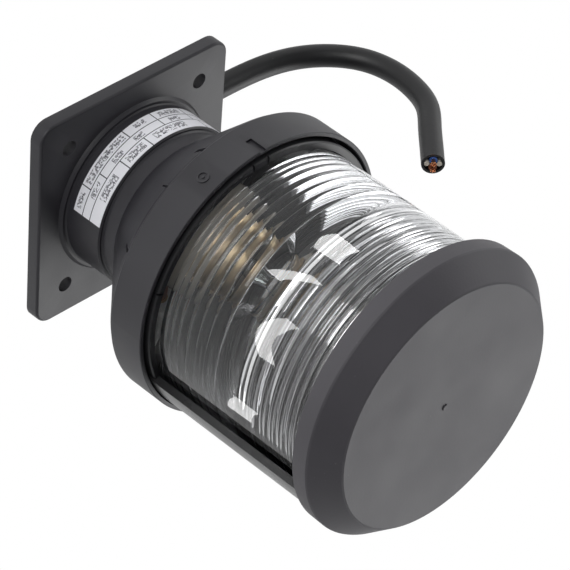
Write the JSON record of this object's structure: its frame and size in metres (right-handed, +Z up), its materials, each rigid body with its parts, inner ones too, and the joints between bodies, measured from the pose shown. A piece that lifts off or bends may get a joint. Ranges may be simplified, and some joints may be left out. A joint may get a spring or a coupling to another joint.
{
  "type": "navigation light",
  "caption": "Round marine sector light: clear ring lens with rear screen between a black cap and a cup base on a square plate with a tail cable.",
  "frame": {"origin": "centre of the base plate's mounting face", "axes": "+Z up the light's axis from the mounting face to the cap, -Y dead ahead through the middle of the lit sector, +Y to the rear screen"},
  "size_m": [0.1642, 0.102, 0.1663],
  "materials": {
    "housing_plastic": "moulded black plastic, fine sheen",
    "cap_plastic": "moulded black plastic, fine sheen",
    "ring_plastic": "moulded black plastic",
    "screen_plastic": "moulded black plastic",
    "lens_clear": "clear moulded polycarbonate, polished",
    "lamp_glass": "clear blown glass",
    "stem_glass": "pressed glass",
    "label_stock": "satin printed label",
    "seal_rubber": "black rubber",
    "cable_jacket": "black sheath, semi matt",
    "blue_insulation": "blue core insulation",
    "brown_insulation": "brown core insulation",
    "filler_fibre": "twisted filler string",
    "copper_wire": "bare stranded copper",
    "gland_plastic": "moulded black nylon",
    "zinc_steel": "zinc plated steel",
    "porcelain": "glazed cream porcelain",
    "brass_parts": "drawn and turned brass",
    "spring_steel": "spring steel wire",
    "lead_sleeve": "black silicone sleeved lead",
    "block_plastic": "white moulded terminal block",
    "cap_insulation": "black vitreous insulation",
    "solder": "tinned contact",
    "filament_wire": "tungsten wire"
  },
  "bodies": {
    "base": {"base_housing": "housing_plastic", "rating_label": "label_stock", "cable_sheath": "cable_jacket", "core_blue": "blue_insulation", "core_brown": "brown_insulation", "core_conductors": "copper_wire", "cable_filler": "filler_fibre", "gland_seal": "seal_rubber", "gland_washer": "zinc_steel", "gland_nut": "gland_plastic", "holder_bracket": "zinc_steel", "bracket_screws": "zinc_steel", "lampholder_body": "porcelain", "holder_locknut": "brass_parts", "lampholder_shell": "brass_parts", "contact_springs": "spring_steel", "spring_seats": "brass_parts", "holder_leads": "lead_sleeve", "terminal_block": "block_plastic", "terminal_clamps": "brass_parts", "terminal_screws": "zinc_steel", "block_screw": "zinc_steel", "block_nut": "zinc_steel"},
    "seal": {"base_seal": "seal_rubber"},
    "head": {"lens": "lens_clear", "rear_screen": "screen_plastic", "top_cap": "cap_plastic", "cap_gasket": "seal_rubber", "lock_ring": "ring_plastic"},
    "plungers": {"contact_plungers": "brass_parts"},
    "lamp": {"bulb_cap": "brass_parts", "cap_insulator": "cap_insulation", "lamp_contacts": "solder", "bulb_glass": "lamp_glass", "bulb_stem": "stem_glass", "bulb_supports": "filament_wire", "bulb_filament": "filament_wire"}
  },
  "joints": [
    {"name": "head_lift", "type": "slide", "parent": "base", "child": "seal", "axis": [0, 0, 1], "range_m": [0, 0.09]},
    {"name": "head_twist", "type": "hinge", "parent": "seal", "child": "head", "pos_m": [0, 0, 0.0562], "axis": [0, 0, 1], "range_deg": [-20, 0]},
    {"name": "lamp_push", "type": "slide", "parent": "base", "child": "plungers", "axis": [0, 0, 1], "range_m": [-0.002, 0], "stiffness_N_per_m": 900, "deforming": ["contact_springs"]},
    {"name": "lamp_twist", "type": "hinge", "parent": "plungers", "child": "lamp", "pos_m": [0, 0, 0.063], "axis": [0, 0, 1], "range_deg": [0, 20]}
  ]
}
